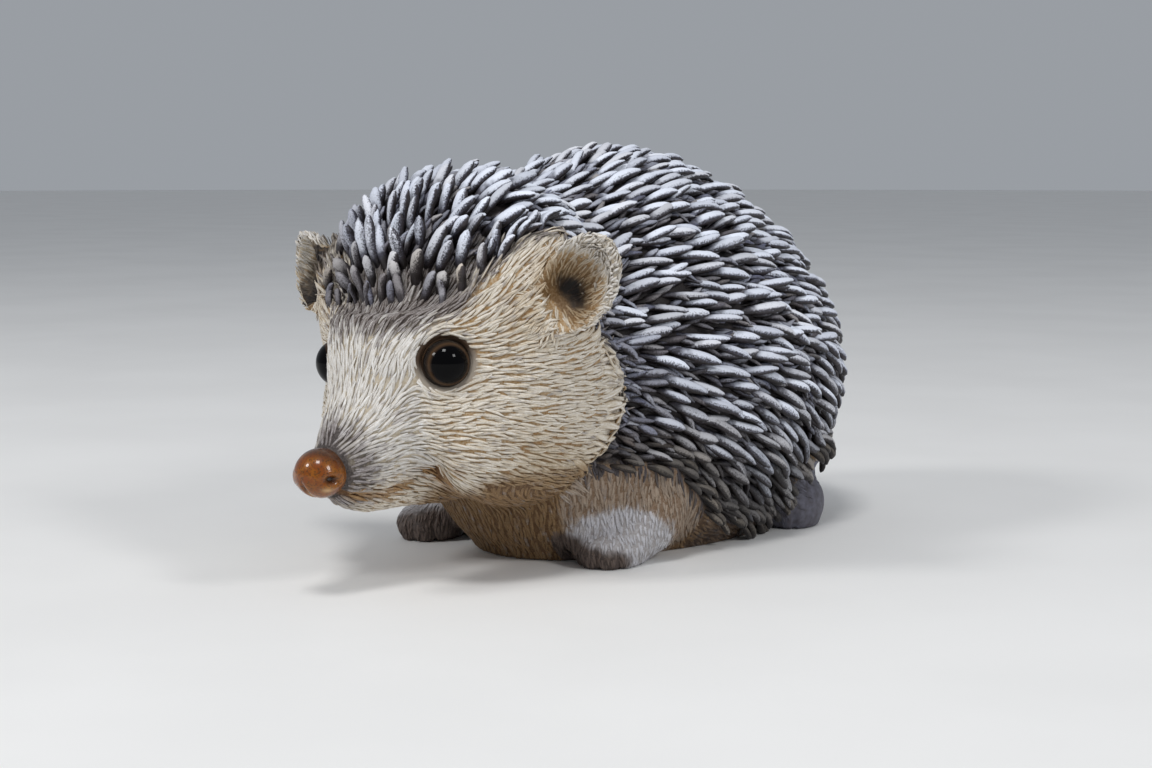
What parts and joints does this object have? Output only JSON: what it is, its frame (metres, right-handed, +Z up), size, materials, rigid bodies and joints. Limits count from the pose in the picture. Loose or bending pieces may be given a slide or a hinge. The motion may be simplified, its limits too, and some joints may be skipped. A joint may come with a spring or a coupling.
{
  "type": "resin hedgehog figurine",
  "caption": "Hand-painted cast resin hedgehog ornament with inset glass eyes and a glossy nose, resting on its belly and feet.",
  "frame": {"origin": "on the floor, under the middle of the ornament", "axes": "+Z up; the nose points towards -Y and the rump towards +Y; the hedgehog's left side is +X"},
  "size_m": [0.0986, 0.1858, 0.0995],
  "materials": {
    "fur_paint": "cast resin with a matt cream paint over ochre grooves",
    "quill_paint": "cast resin, dark brown grey with pale dry-brushed quills",
    "paw_paint": "cast resin with a matt grey and brown paint",
    "eye_glass": "polished glass, black with a brown ring",
    "nose_varnish": "cast resin with an amber brown gloss varnish"
  },
  "bodies": {
    "root": {"head": "fur_paint", "ear_left": "fur_paint", "ear_right": "fur_paint", "eye_left": "eye_glass", "eye_right": "eye_glass", "nose": "nose_varnish", "trunk": "quill_paint", "tail": "quill_paint", "foreleg_left": "paw_paint", "foreleg_right": "paw_paint", "hindfoot_left": "paw_paint", "hindfoot_right": "paw_paint"}
  },
  "joints": []
}
